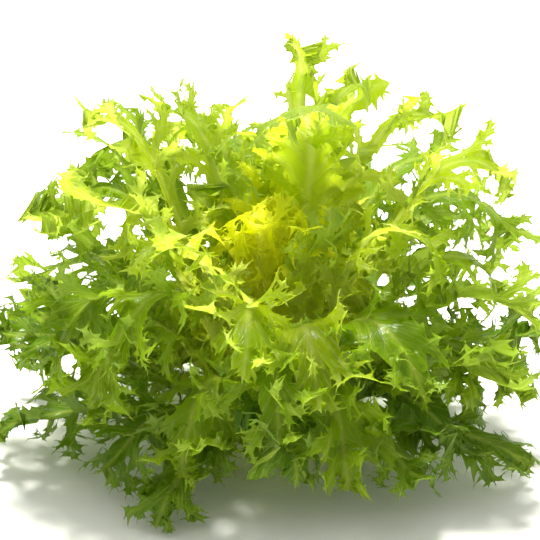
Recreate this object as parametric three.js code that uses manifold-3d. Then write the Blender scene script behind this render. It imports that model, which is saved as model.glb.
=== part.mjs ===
// A head of curly endive, as cut and set down on a table. It has a short stem, cut flat below, and a rosette
// of long leaves in a spiral round it: low green ones that lie out to all sides, large ones that stand,
// fold over and hang, tall pale ones, and a tight yellow heart.
//
// Millimetres, +Z up. The origin is the middle of the stem's cut face, which is what the head stands on.
// The head has opened towards -Y, where its heart shows between the leaves.

import * as THREE from "three";
import { mergeVertices } from "three/addons/utils/BufferGeometryUtils.js";
import Module from "manifold-3d";

// Driving dimensions of the stem
const STEM_FOOT_RADIUS = 19;
const STEM_WAIST_RADIUS = 21;
const STEM_WAIST_HEIGHT = 7;
const STEM_SHOULDER_HEIGHT = 16;
const STEM_SHOULDER_RADIUS = 20;
const STEM_TIP_HEIGHT = 60;
const STEM_TIP_RADIUS = 5;
const STEM_SIDES = 20;

// Driving dimensions of the rosette
const SPIRAL_LEAVES = 46;
const OUTER_UP_TO = 0.3;
const MIDDLE_UP_TO = 0.7;
const FIRST_AZIMUTH = 205;
const SPIRAL_STEP = 137.508;
const FIRST_ROOT_HEIGHT = 9;
const LAST_ROOT_HEIGHT = 54;
const FRONT_AZIMUTH = -90;
const DEPTH_TO_WIDTH = 0.88;
const LOWEST_POINT = 0.6;
const GAP = 0.35;

// How the leaves change from the outermost to the innermost, in even steps. Angles are in degrees.
const HABIT = {
  launch: [9, 28, 46, 58, 69],
  lift: [6, 13, 12, 10, 6],
  fold: [40, 88, 112, 120, 90],
  foldAt: [0.55, 0.58, 0.66, 0.74, 0.8],
  length: [146, 180, 206, 212, 186],
  halfWidth: [32, 36, 37, 34, 28],
};
// The same for the leaves on the side where the head has opened
const FRONT_HABIT = {
  launch: [16, 26, 35, 44, 54],
  lift: [12, 22, 22, 20, 14],
  fold: [50, 100, 124, 124, 90],
  foldAt: [0.5, 0.5, 0.52, 0.55, 0.6],
  length: [126, 142, 158, 152, 126],
  halfWidth: [32, 35, 35, 31, 24],
};
// Leaves that have grown their own way, by their number from the outermost, 0
const OWN_WAYS = {
  0: { azimuth: -163, launch: 12, lift: 10, fold: 30, length: 154 },
  1: { azimuth: -25, launch: 10, lift: 6, fold: 24, length: 156 },
  3: { azimuth: -118, launch: 16, lift: 14, fold: 60, length: 128 },
  5: { azimuth: 174, launch: 24, lift: 16, fold: 56, foldAt: 0.62, length: 176 },
  6: { azimuth: -56, launch: 14, lift: 14, fold: 52, length: 136 },
  8: { azimuth: -139, launch: 20, lift: 16, fold: 66, length: 126 },
  9: { azimuth: -3, launch: 18, lift: 14, fold: 44, foldAt: 0.66, length: 164 },
  11: { azimuth: -86, launch: 26, lift: 22, fold: 84, length: 130 },
  13: { azimuth: -165, launch: 22, lift: 14, fold: 40, foldAt: 0.66, length: 174 },
  19: { azimuth: -29, launch: 18, lift: 18, fold: 66, length: 168 },
  22: { azimuth: -12, launch: 32, lift: 14, fold: 62, foldAt: 0.64, length: 176, halfWidth: 42, roll: -34 },
  26: { azimuth: 179, launch: 40, lift: 8, fold: 12, foldAt: 0.8, length: 180, halfWidth: 22 },
  33: { azimuth: 67, launch: 76, lift: 4, fold: 0, length: 206, halfWidth: 24 },
  36: { azimuth: 46, launch: 74, lift: 4, fold: 60, foldAt: 0.84, length: 196, halfWidth: 28 },
  39: { azimuth: 170, launch: 58, lift: 10, fold: 100, foldAt: 0.87, length: 198, halfWidth: 36 },
  40: { azimuth: -38, launch: 68, lift: 8, fold: 30, foldAt: 0.8, length: 116 },
  41: { azimuth: 30, launch: 80, lift: 2, fold: -130, foldAt: 0.76, length: 208, halfWidth: 44, sway: 75 },
  43: { azimuth: -4, launch: 50, lift: 8, fold: 165, foldAt: 0.83, length: 212, halfWidth: 30 },
  45: { azimuth: 132, launch: 74, lift: 4, fold: 40, length: 132 },
};
// Leaves that fill the gaps of the spiral, numbered after it. Age runs from 0, outermost, to 1, innermost.
const FILLING_WAYS = [
  { age: 0.08, azimuth: 161 },
  { age: 0.1, azimuth: 10 },
  { age: 0.19, azimuth: -37 },
  { age: 0.38, azimuth: -68 },
  { age: 0.32, azimuth: 150 },
  { age: 0.48, azimuth: 24 },
  { age: 0.52, azimuth: -156 },
  { age: 0.63, azimuth: 160 },
  { age: 0.55, azimuth: 90 },
  { age: 0.76, azimuth: 116 },
];

// Driving dimensions of one leaf. Outlines run from the leaf's root, 0, to its tip, 1.
const LOBES = 5;
const BARE_SHARE = 0.2;
const OUTLINE = [0.2, 0.16, 0.26, 0.55, 0.86, 1, 0.98, 0.75, 0.08];
const NOTCH_DEPTH = 0.58;
const LAST_LOBE = 0.97;
const FORWARD_SWEEP = 0.9;
const RIB_HALF_WIDTH = [6.5, 4.2, 3.4, 2.8, 2.2, 1.6, 1.0];
const RIB_THICKNESS = [3.4, 2.8, 2.4, 2.0, 1.6, 1.3, 1.0];
const BLADE_THICKNESS = 0.8;
const RUFFLE_LENGTH = 46;
const SPINE_STEP = 2.5;
const SECTION_STEPS = 6;

// Driving dimensions of the heart
const HEART_FOOT_HEIGHT = 62.6;
const HEART_CORE_RADIUS = 10;
const HEART_CORE_HEIGHT = 34;
const HEART_LEAVES = 7;
const HEART_LOBES = 3;
const HEART_LENGTH = [80, 90, 84, 60];
const HEART_HALF_WIDTH = [26, 26, 22, 15];
const HEART_LAUNCH = [56, 64, 72, 82];

const { PI, abs, cos, floor, max, min, sin } = Math;
const radians = THREE.MathUtils.degToRad;
const lerp = THREE.MathUtils.lerp;
const smoothstep = THREE.MathUtils.smoothstep;

const wasm = await Module();
wasm.setup();

// A fixed draw from 0 to 1 for a leaf, the same on every run
function chance(leaf, draw) {
  const s = sin(leaf * 12.9898 + draw * 78.233) * 43758.5453;
  return s - floor(s);
}

function spread(leaf, draw, size) {
  return (2 * chance(leaf, draw) - 1) * size;
}

// The value at share t of a row of evenly spaced values
function along(row, t) {
  const place = min(max(t, 0), 1) * (row.length - 1);
  const i = min(floor(place), row.length - 2);
  return lerp(row[i], row[i + 1], place - i);
}

function stemRadius(z) {
  const share = (z - STEM_SHOULDER_HEIGHT) / (STEM_TIP_HEIGHT - STEM_SHOULDER_HEIGHT);
  return lerp(STEM_SHOULDER_RADIUS, STEM_TIP_RADIUS, min(max(share, 0), 1));
}

// What is true of leaf number i: where it grows, how it runs and how its blade curls
function leafHabit(i) {
  const own = OWN_WAYS[i] ?? FILLING_WAYS[i - SPIRAL_LEAVES] ?? {};
  const age = own.age ?? i / (SPIRAL_LEAVES - 1);
  const turn = own.azimuth ?? FIRST_AZIMUTH + i * SPIRAL_STEP + spread(i, 1, 7);
  const azimuth = radians(turn);
  const front = max(0, cos(azimuth - radians(FRONT_AZIMUTH))) ** 1.3;
  const habit = (name) => lerp(along(HABIT[name], age), along(FRONT_HABIT[name], age), front);
  const rootHeight = lerp(FIRST_ROOT_HEIGHT, LAST_ROOT_HEIGHT, age);
  const reach = lerp(1, DEPTH_TO_WIDTH, sin(azimuth) ** 2 * (1 - age));
  const leaf = {
    age,
    azimuth,
    rootHeight,
    rootRadius: stemRadius(rootHeight) + 0.5,
    lobes: LOBES,
    launch: radians(own.launch ?? habit("launch") + spread(i, 2, 3)),
    lift: radians(own.lift ?? habit("lift")),
    fold: radians(own.fold ?? habit("fold") * (1 + spread(i, 3, 0.22))),
    foldAt: own.foldAt ?? habit("foldAt") + spread(i, 4, 0.05),
    length: own.length ?? habit("length") * reach * (1 + spread(i, 5, 0.07)),
    halfWidth: own.halfWidth ?? habit("halfWidth") * (1 + spread(i, 6, 0.12)),
    sway: radians(own.sway ?? spread(i, 7, 16)),
    roll: radians(own.roll ?? spread(i, 8, 16)),
    cup: radians(lerp(34, 22, age)),
    flare: radians(own.flare ?? spread(i, 9, 30)),
    ruffle: radians(lerp(46, 40, age)),
    ruffleStart: [chance(i, 10) * 2 * PI, chance(i, 11) * 2 * PI],
  };
  return clearOfTable(leaf);
}

// A leaf of the heart, number k from the outside. They stand close round the core and cup towards it.
function heartHabit(k) {
  const age = k / (HEART_LEAVES - 1);
  const i = SPIRAL_LEAVES + k;
  return {
    azimuth: radians(FIRST_AZIMUTH + i * SPIRAL_STEP),
    rootHeight: HEART_FOOT_HEIGHT + lerp(3, HEART_CORE_HEIGHT * 0.7, age),
    rootRadius: HEART_CORE_RADIUS * lerp(0.5, 0.3, age),
    lobes: HEART_LOBES,
    launch: radians(along(HEART_LAUNCH, age) + spread(i, 2, 4)),
    lift: radians(14),
    fold: radians(70),
    foldAt: 0.8,
    length: along(HEART_LENGTH, age) * (1 + spread(i, 5, 0.1)),
    halfWidth: along(HEART_HALF_WIDTH, age),
    sway: radians(spread(i, 7, 12)),
    roll: radians(spread(i, 8, 12)),
    cup: radians(46),
    flare: radians(spread(i, 9, 20)),
    ruffle: radians(26),
    ruffleStart: [chance(i, 10) * 2 * PI, chance(i, 11) * 2 * PI],
  };
}

// A leaf folds over only until it meets the table
function clearOfTable(leaf) {
  const lowest = () => {
    const frames = spineOf(leaf);
    const heights = stationsOf(leaf).flatMap(({ s }) =>
      [-1, -0.5, 0, 0.5, 1].map((share) => bladePoint(leaf, frames, s, share * leaf.halfWidth).point.z),
    );
    return min(...heights);
  };
  for (let k = 0; k < 60 && lowest() < LOWEST_POINT + BLADE_THICKNESS; k++) {
    leaf.fold -= radians(2);
    leaf.launch += radians(0.2);
  }
  return leaf;
}

// The leaf's rib as a row of frames: place, direction, side and upper normal
function spineOf(leaf) {
  const steps = Math.ceil(leaf.length / SPINE_STEP);
  const ds = leaf.length / steps;
  const rootRadius = leaf.rootRadius + 2.6 * sin(leaf.launch);
  const place = new THREE.Vector3(
    rootRadius * cos(leaf.azimuth),
    rootRadius * sin(leaf.azimuth),
    leaf.rootHeight,
  );
  const frames = [];
  for (let k = 0; k <= steps; k++) {
    const t = k / steps;
    const elevation =
      leaf.launch +
      leaf.lift * smoothstep(t, 0, 0.35) -
      leaf.fold * smoothstep(t, leaf.foldAt - 0.22, leaf.foldAt + 0.3);
    const heading = leaf.azimuth + leaf.sway * t * t;
    const roll = leaf.roll * smoothstep(t, 0.15, 1);
    const forward = new THREE.Vector3(
      cos(elevation) * cos(heading),
      cos(elevation) * sin(heading),
      sin(elevation),
    );
    const level = new THREE.Vector3(-sin(heading), cos(heading), 0);
    const above = forward.clone().cross(level);
    const side = level.clone().multiplyScalar(cos(roll)).addScaledVector(above, sin(roll));
    frames.push({ place: place.clone(), forward, side, normal: forward.clone().cross(side) });
    place.addScaledVector(forward, ds);
  }
  return frames;
}

// The frame at arc length s, between two frames of the spine
function frameAt(leaf, frames, s) {
  const at = (min(max(s / leaf.length, 0), 1)) * (frames.length - 1);
  const i = min(floor(at), frames.length - 2);
  const mix = (name) => frames[i][name].clone().lerp(frames[i + 1][name], at - i);
  return {
    place: mix("place"),
    forward: mix("forward").normalize(),
    side: mix("side").normalize(),
    normal: mix("normal").normalize(),
  };
}

// A point of the blade, s along the rib and w out from it, with the blade's upper normal there.
// The blade cups up from the rib, flares towards its tip, and ruffles more and more towards its margin.
function bladePoint(leaf, frames, s, w) {
  const { place, forward, side, normal } = frameAt(leaf, frames, s);
  const t = s / leaf.length;
  const hand = w < 0 ? 0 : 1;
  const wave = sin((2 * PI * s) / RUFFLE_LENGTH + leaf.ruffleStart[hand]);
  const bow = leaf.cup * (1 - 0.6 * t) + leaf.flare * smoothstep(t, 0.45, 0.9);
  const step = abs(w) / SECTION_STEPS;
  let out = 0;
  let up = 0;
  let angle = 0;
  for (let k = 0; k < SECTION_STEPS; k++) {
    const share = ((k + 0.5) * step) / leaf.halfWidth;
    angle = bow * min(1, 2 * share) + leaf.ruffle * wave * share ** 1.3 * smoothstep(t, 0.15, 0.4);
    out += step * cos(angle);
    up += step * sin(angle);
  }
  const sign = w < 0 ? -1 : 1;
  const point = place.addScaledVector(side, sign * out).addScaledVector(normal, up);
  const face = normal.multiplyScalar(cos(angle)).addScaledVector(side, -sign * sin(angle));
  return { point, face, forward };
}

// Stations along the leaf. Left lobes reach out at the odd ones and right lobes at the even ones.
function stationsOf(leaf) {
  const lobed = 2 * leaf.lobes + 1;
  const stations = [
    { s: 0, left: 1, right: 1 },
    { s: leaf.length * BARE_SHARE * 0.5, left: 1, right: 1 },
  ];
  for (let k = 0; k < lobed; k++) {
    const t = lerp(BARE_SHARE, LAST_LOBE, k / (lobed - 1));
    stations.push({ s: leaf.length * t, left: k % 2, right: (k + 1) % 2 });
  }
  stations.push({ s: leaf.length, left: 1, right: 1 });
  return stations;
}

// One leaf as a closed solid. extra widens it all round, for the room that its neighbours keep.
function leafSolid(leaf, extra = 0) {
  const frames = spineOf(leaf);
  const vertices = [];
  const rows = stationsOf(leaf);
  const step = (leaf.length * (LAST_LOBE - BARE_SHARE)) / (2 * leaf.lobes);
  rows.forEach(({ s, left, right }, row) => {
    const t = s / leaf.length;
    const reach = along(OUTLINE, t) * leaf.halfWidth;
    const rib = along(RIB_HALF_WIDTH, t);
    const half = along(RIB_THICKNESS, t) / 2;
    const bladed = row > 1 && row < rows.length - 1;
    const margin = (tip) => {
      const w = bladed ? max(rib + 1.2, reach * (tip ? 1 : 1 - NOTCH_DEPTH)) : rib + 1;
      const sweep = bladed && tip ? FORWARD_SWEEP * step : 0;
      return { w: w + extra, s: min(s + sweep, leaf.length * 1.02) };
    };
    const l = margin(left);
    const r = margin(right);
    const columns = [
      { s: l.s, w: -l.w, half: BLADE_THICKNESS / 2 },
      { s, w: -rib, half },
      { s, w: rib, half },
      { s: r.s, w: r.w, half: BLADE_THICKNESS / 2 },
    ];
    const beyond = extra * ((row === rows.length - 1) - (row === 0));
    columns.forEach((c) => {
      const { point, face, forward } = bladePoint(leaf, frames, c.s, c.w);
      const lift = c.half + extra;
      point.addScaledVector(forward, beyond);
      vertices.push(point.clone().addScaledVector(face, lift));
      vertices.push(point.clone().addScaledVector(face, -lift));
    });
  });
  return sheetSolid(vertices, rows.length, 4);
}

// A closed sheet from rows of upper and lower points, with the same diagonals on both faces
function sheetSolid(points, rows, columns) {
  const id = (row, column, below) => (row * columns + column) * 2 + below;
  const faces = [];
  const quad = (a, b, c, d) => faces.push(a, b, c, a, c, d);
  for (let r = 0; r < rows - 1; r++) {
    for (let c = 0; c < columns - 1; c++) {
      const corners = (below) => [
        id(r, c, below),
        id(r, c + 1, below),
        id(r + 1, c + 1, below),
        id(r + 1, c, below),
      ];
      const [a, b, e, d] = corners(0);
      const [p, q, u, v] = corners(1);
      if (c < (columns - 1) / 2) {
        faces.push(a, d, b, b, d, e);
        faces.push(p, q, v, q, u, v);
      } else {
        faces.push(a, e, b, a, d, e);
        faces.push(p, q, u, p, u, v);
      }
    }
    quad(id(r, 0, 0), id(r, 0, 1), id(r + 1, 0, 1), id(r + 1, 0, 0));
    const last = columns - 1;
    quad(id(r, last, 0), id(r + 1, last, 0), id(r + 1, last, 1), id(r, last, 1));
  }
  for (let c = 0; c < columns - 1; c++) {
    quad(id(0, c, 0), id(0, c + 1, 0), id(0, c + 1, 1), id(0, c, 1));
    const e = rows - 1;
    quad(id(e, c, 0), id(e, c, 1), id(e, c + 1, 1), id(e, c + 1, 0));
  }
  const geometry = new THREE.BufferGeometry().setFromPoints(points).setIndex(faces);
  return solidOf(geometry);
}

function solidOf(geometry) {
  const bare = new THREE.BufferGeometry()
    .setAttribute("position", geometry.getAttribute("position"))
    .setIndex(geometry.index);
  const merged = mergeVertices(bare, 1e-4);
  const vertProperties = new Float32Array(merged.attributes.position.array);
  const triVerts = new Uint32Array(merged.index.array);
  const solid = new wasm.Manifold(new wasm.Mesh({ numProp: 3, vertProperties, triVerts }));
  if (solid.volume() > 0) return solid;
  for (let i = 0; i < triVerts.length; i += 3) {
    [triVerts[i + 1], triVerts[i + 2]] = [triVerts[i + 2], triVerts[i + 1]];
  }
  return new wasm.Manifold(new wasm.Mesh({ numProp: 3, vertProperties, triVerts }));
}

function stemSolid() {
  const profile = [
    [0, 0],
    [STEM_FOOT_RADIUS, 0],
    [STEM_WAIST_RADIUS, STEM_WAIST_HEIGHT],
    [STEM_SHOULDER_RADIUS, STEM_SHOULDER_HEIGHT],
    [STEM_TIP_RADIUS, STEM_TIP_HEIGHT],
    [0, STEM_TIP_HEIGHT + 2],
  ].map(([r, z]) => new THREE.Vector2(r, z));
  return solidOf(new THREE.LatheGeometry(profile, STEM_SIDES).rotateX(PI / 2));
}

// The core of the heart, an egg on a narrow foot, with its leaves fused into it
function heartSolid() {
  const core = new THREE.LatheGeometry(
    [
      [0, 0],
      [0.45, 0],
      [0.8, 0.22],
      [1, 0.5],
      [0.8, 0.8],
      [0, 1],
    ].map(([r, z]) => new THREE.Vector2(r * HEART_CORE_RADIUS, HEART_FOOT_HEIGHT + z * HEART_CORE_HEIGHT)),
    10,
  ).rotateX(PI / 2);
  let solid = solidOf(core);
  for (let k = 0; k < HEART_LEAVES; k++) {
    solid = solid.add(leafSolid(heartHabit(k)));
  }
  return solid;
}

function meshOf(name, solid, material) {
  const { vertProperties, triVerts, numProp, numVert } = solid.getMesh();
  const positions = new Float32Array(numVert * 3);
  for (let i = 0; i < numVert; i++) {
    positions.set(vertProperties.subarray(i * numProp, i * numProp + 3), i * 3);
  }
  const geometry = new THREE.BufferGeometry();
  geometry.setAttribute("position", new THREE.BufferAttribute(positions, 3));
  geometry.setIndex(new THREE.BufferAttribute(new Uint32Array(triVerts), 1));
  geometry.computeVertexNormals();
  const mesh = new THREE.Mesh(geometry, material);
  mesh.name = name;
  return mesh;
}

const finish = (color) => new THREE.MeshStandardMaterial({ color, roughness: 0.45, metalness: 0 });
const TIERS = [
  { name: "outer", upTo: OUTER_UP_TO, count: 0, material: finish(0x5f8f1c) },
  { name: "middle", upTo: MIDDLE_UP_TO, count: 0, material: finish(0x86ad2c) },
  { name: "inner", upTo: 1, count: 0, material: finish(0xa9c43a) },
];
const heartYellow = finish(0xd3d94e);
const stemCream = finish(0xe6e8c8);

const head = new THREE.Group();
head.add(meshOf("stem", stemSolid(), stemCream));

// Each leaf makes way for those outside it, with a gap all round, and keeps its main body
const guards = [];
const makeWay = (solid) => {
  const clear = guards.reduce((rest, guard) => rest.subtract(guard), solid);
  return clear.decompose().sort((a, b) => b.volume() - a.volume())[0];
};
for (let i = 0; i < SPIRAL_LEAVES + FILLING_WAYS.length; i++) {
  const leaf = leafHabit(i);
  const tier = TIERS.find(({ upTo }) => leaf.age <= upTo);
  tier.count += 1;
  const number = String(tier.count).padStart(2, "0");
  head.add(meshOf(`leaf_${tier.name}_${number}`, makeWay(leafSolid(leaf)), tier.material));
  guards.push(leafSolid(leaf, GAP));
}
head.add(meshOf("heart", makeWay(heartSolid()), heartYellow));

export default head;
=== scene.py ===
import math

import bpy
import numpy as np
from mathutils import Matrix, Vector
from mathutils.geometry import delaunay_2d_cdt


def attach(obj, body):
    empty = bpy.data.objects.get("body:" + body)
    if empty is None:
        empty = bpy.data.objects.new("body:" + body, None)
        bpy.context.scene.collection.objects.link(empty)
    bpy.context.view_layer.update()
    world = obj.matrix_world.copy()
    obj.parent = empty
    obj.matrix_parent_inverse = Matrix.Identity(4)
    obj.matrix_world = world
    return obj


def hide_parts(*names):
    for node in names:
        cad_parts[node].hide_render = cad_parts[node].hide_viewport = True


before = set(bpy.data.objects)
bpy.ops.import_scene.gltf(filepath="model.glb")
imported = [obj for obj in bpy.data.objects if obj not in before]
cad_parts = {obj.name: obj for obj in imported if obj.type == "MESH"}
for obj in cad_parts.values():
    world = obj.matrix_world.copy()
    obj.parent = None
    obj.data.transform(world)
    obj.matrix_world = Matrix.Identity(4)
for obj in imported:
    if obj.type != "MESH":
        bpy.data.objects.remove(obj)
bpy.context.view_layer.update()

# Camera
# It looks down on the head from 22 degrees, from the side where the head has opened, through a long lens.
# The view is a little narrower than the head is wide.
VIEW_ANGLE = math.radians(22)
VIEW_DISTANCE = 1.05
VIEW_WIDTH = 0.324
VIEW_CENTRE = Vector((0, 0, 0.112))
SENSOR = 36.0

camera = bpy.data.objects.new("camera", bpy.data.cameras.new("camera"))
bpy.context.collection.objects.link(camera)
bpy.context.scene.camera = camera
camera.data.sensor_width = SENSOR
camera.data.lens = SENSOR * VIEW_DISTANCE / VIEW_WIDTH
towards_camera = Vector((0, -math.cos(VIEW_ANGLE), math.sin(VIEW_ANGLE)))
camera.location = VIEW_CENTRE + VIEW_DISTANCE * towards_camera
camera.rotation_euler = (-towards_camera).to_track_quat("-Z", "Y").to_euler()


# Table and light
# A plain pale table, a white surrounding, and a large soft window behind the head whose light comes
# through the leaves. The table in front of the head lies in its shadow.
TABLE_SIZE = 24.0
TABLE_COLOUR = (0.88, 0.87, 0.79, 1)
TABLE_ROUGHNESS = 0.7
SKY_COLOUR = (0.97, 0.98, 1.0, 1)
SKY_DIMMEST = 0.42
SKY_BRIGHTEST = 1.15
SKY_BRIGHTENS_FROM = -0.6
TOWARDS_BRIGHTEST_SKY = (0, 0.7, 0.71)
SUN_COLOUR = (1.0, 0.985, 0.95)
SUN_STRENGTH = 6.6
SUN_SOFTNESS = math.radians(13)
SUN_ELEVATION = math.radians(66)
SUN_AZIMUTH = math.radians(95)

table = bpy.data.objects.new("table", bpy.data.meshes.new("table"))
bpy.context.collection.objects.link(table)
half = TABLE_SIZE / 2
corners = [(-half, -half, 0), (half, -half, 0), (half, half, 0), (-half, half, 0)]
table.data.from_pydata(corners, [], [(0, 1, 2, 3)])
table_top = bpy.data.materials.new("table top")
table_top.use_nodes = True
table_face = table_top.node_tree.nodes["Principled BSDF"]
table_face.inputs["Base Color"].default_value = TABLE_COLOUR
table_face.inputs["Roughness"].default_value = TABLE_ROUGHNESS
table.data.materials.append(table_top)

sky = bpy.data.worlds.new("sky")
bpy.context.scene.world = sky
sky.use_nodes = True
sky_nodes = sky.node_tree.nodes
sky_nodes["Background"].inputs["Color"].default_value = SKY_COLOUR
sky_place = sky_nodes.new("ShaderNodeTexCoord")
towards_window = sky_nodes.new("ShaderNodeVectorMath")
towards_window.operation = "DOT_PRODUCT"
towards_window.inputs[1].default_value = TOWARDS_BRIGHTEST_SKY
sky_level = sky_nodes.new("ShaderNodeMapRange")
sky_level.inputs["From Min"].default_value = SKY_BRIGHTENS_FROM
sky_level.inputs["To Min"].default_value = SKY_DIMMEST
sky_level.inputs["To Max"].default_value = SKY_BRIGHTEST
sky.node_tree.links.new(sky_place.outputs["Generated"], towards_window.inputs[0])
sky.node_tree.links.new(towards_window.outputs["Value"], sky_level.inputs["Value"])
sky.node_tree.links.new(sky_level.outputs["Result"], sky_nodes["Background"].inputs["Strength"])

sun = bpy.data.objects.new("window light", bpy.data.lights.new("window light", "SUN"))
bpy.context.collection.objects.link(sun)
sun.data.energy = SUN_STRENGTH
sun.data.angle = SUN_SOFTNESS
sun.data.color = SUN_COLOUR
to_sun = Vector((
    math.cos(SUN_ELEVATION) * math.cos(SUN_AZIMUTH),
    math.cos(SUN_ELEVATION) * math.sin(SUN_AZIMUTH),
    math.sin(SUN_ELEVATION),
))
sun.rotation_euler = to_sun.to_track_quat("Z", "Y").to_euler()

# Light passes through several leaves before it reaches the eye.
bpy.context.scene.cycles.max_bounces = 24
bpy.context.scene.cycles.transmission_bounces = 20
bpy.context.scene.cycles.diffuse_bounces = 12
bpy.context.scene.view_settings.view_transform = "Standard"


# Stem
# The short pale stem that every leaf grows from, cut flat below with a knife. The leaves have left it
# ringed with the low ridges of their feet, and it tapers up into the heart.
STEM_PROFILE = [(0.019, 0.0), (0.021, 0.007), (0.020, 0.016), (0.005, 0.060)]
STEM_TIP = 0.062
STEM_SIDES = 96
STEM_RINGS = 60
RIDGE_HEIGHT = 0.0003
RIDGES_START = 0.004
RIDGES_LEFT = 13
RIDGES_RIGHT = 8
RIDGES_UP = 9
STEM_COLOUR = (0.84, 0.86, 0.62, 1)
BROWNED_COLOUR = (0.58, 0.50, 0.26, 1)


def along(row, t):
    """The value at share t of a row of evenly spaced values."""
    return np.interp(t, np.linspace(0, 1, len(row)), row)


def stem_radius(z):
    heights = [p[1] for p in STEM_PROFILE]
    return np.interp(z, heights, [p[0] for p in STEM_PROFILE])


def new_object(name, vertices, faces):
    """An object with its mesh in its place on the head."""
    mesh = bpy.data.meshes.new(name)
    mesh.from_pydata(vertices, [], faces)
    piece = bpy.data.objects.new(name, mesh)
    bpy.context.collection.objects.link(piece)
    return piece


def finish_piece(piece, node, sharp_from):
    """Makes an object with a finished mesh stand for a node of the frame."""
    piece.data.shade_smooth()
    piece.data.set_sharp_from_angle(angle=math.radians(sharp_from))
    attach(piece, "root")
    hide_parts(node)


def shader_node(tree, kind, **values):
    """A node of a shader tree, with its properties and unlinked sockets set by name."""
    node = tree.nodes.new(kind)
    for name, value in values.items():
        if hasattr(node, name):
            setattr(node, name, value)
        else:
            node.inputs[name.replace("_", " ")].default_value = value
    return node


def stem_material():
    material = bpy.data.materials.new("cut stem")
    material.use_nodes = True
    tree = material.node_tree
    skin = tree.nodes["Principled BSDF"]
    skin.inputs["Subsurface Weight"].default_value = 0.25
    skin.inputs["Subsurface Radius"].default_value = (0.004, 0.004, 0.002)
    place = shader_node(tree, "ShaderNodeTexCoord")
    fibres = shader_node(tree, "ShaderNodeTexNoise", Scale=420.0, Detail=5.0)
    patches = shader_node(tree, "ShaderNodeTexNoise", Scale=60.0, Detail=3.0)
    ramp = shader_node(tree, "ShaderNodeValToRGB")
    ramp.color_ramp.elements[0].color = BROWNED_COLOUR
    ramp.color_ramp.elements[0].position = 0.30
    ramp.color_ramp.elements[1].color = STEM_COLOUR
    ramp.color_ramp.elements[1].position = 0.58
    rough = shader_node(tree, "ShaderNodeMapRange", To_Min=0.35, To_Max=0.6)
    bump = shader_node(tree, "ShaderNodeBump", Strength=0.5, Distance=0.0004)
    tree.links.new(place.outputs["Object"], fibres.inputs["Vector"])
    tree.links.new(place.outputs["Object"], patches.inputs["Vector"])
    tree.links.new(patches.outputs["Fac"], ramp.inputs["Fac"])
    tree.links.new(ramp.outputs["Color"], skin.inputs["Base Color"])
    tree.links.new(fibres.outputs["Fac"], rough.inputs["Value"])
    tree.links.new(rough.outputs["Result"], skin.inputs["Roughness"])
    tree.links.new(fibres.outputs["Fac"], bump.inputs["Height"])
    tree.links.new(bump.outputs["Normal"], skin.inputs["Normal"])
    return material


def build_stem():
    vertices = [(0, 0, 0)]
    top = STEM_PROFILE[-1][1]
    for ring in range(STEM_RINGS + 1):
        z = top * ring / STEM_RINGS
        for side in range(STEM_SIDES):
            turn = 2 * math.pi * side / STEM_SIDES
            lattice = math.sin(RIDGES_LEFT * turn + RIDGES_UP * 2 * math.pi * z / top)
            lattice *= math.sin(RIDGES_RIGHT * turn - RIDGES_UP * 2 * math.pi * z / top)
            r = stem_radius(z) - RIDGE_HEIGHT * (1 + lattice) * min(1, z / RIDGES_START)
            vertices.append((r * math.cos(turn), r * math.sin(turn), z))
    vertices.append((0, 0, STEM_TIP))
    faces = []
    last = len(vertices) - 1
    for side in range(STEM_SIDES):
        beside = (side + 1) % STEM_SIDES
        faces.append((0, 1 + beside, 1 + side))
        for ring in range(STEM_RINGS):
            low = 1 + ring * STEM_SIDES
            high = low + STEM_SIDES
            faces.append((low + side, low + beside, high + beside, high + side))
        foot = 1 + STEM_RINGS * STEM_SIDES
        faces.append((foot + side, foot + beside, last))
    stem = new_object("cut_stem", vertices, faces)
    stem.data.materials.append(stem_material())
    finish_piece(stem, "stem", sharp_from=50)


build_stem()


# Leaves, how they grow
# Each leaf grows from the stem at its own turn of the spiral, rises along its rib, folds over and hangs.
# The numbers and rules are those of the frame's own leaves, so each fine leaf lies where its node does.
# Angles are in degrees, and each row runs from the outermost leaf to the innermost.
SPIRAL_STEP = 137.508
SPIRAL_LEAVES = 46
TIERS = [("outer", 0.3), ("middle", 0.7), ("inner", 1)]
FIRST_AZIMUTH = 205
FIRST_ROOT_HEIGHT = 0.009
LAST_ROOT_HEIGHT = 0.054
FRONT_AZIMUTH = -90
DEPTH_TO_WIDTH = 0.88
ROOT_GAP = 0.0005
STEEP_ROOT_GAP = 0.0026
LOWEST_POINT = 0.0014
HABIT = {
    "launch": [9, 28, 46, 58, 69],
    "lift": [6, 13, 12, 10, 6],
    "fold": [40, 88, 112, 120, 90],
    "fold_at": [0.55, 0.58, 0.66, 0.74, 0.8],
    "length": [0.146, 0.180, 0.206, 0.212, 0.186],
    "half_width": [0.032, 0.036, 0.037, 0.034, 0.028],
}
FRONT_HABIT = {
    "launch": [16, 26, 35, 44, 54],
    "lift": [12, 22, 22, 20, 14],
    "fold": [50, 100, 124, 124, 90],
    "fold_at": [0.5, 0.5, 0.52, 0.55, 0.6],
    "length": [0.126, 0.142, 0.158, 0.152, 0.126],
    "half_width": [0.032, 0.035, 0.035, 0.031, 0.024],
}
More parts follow.
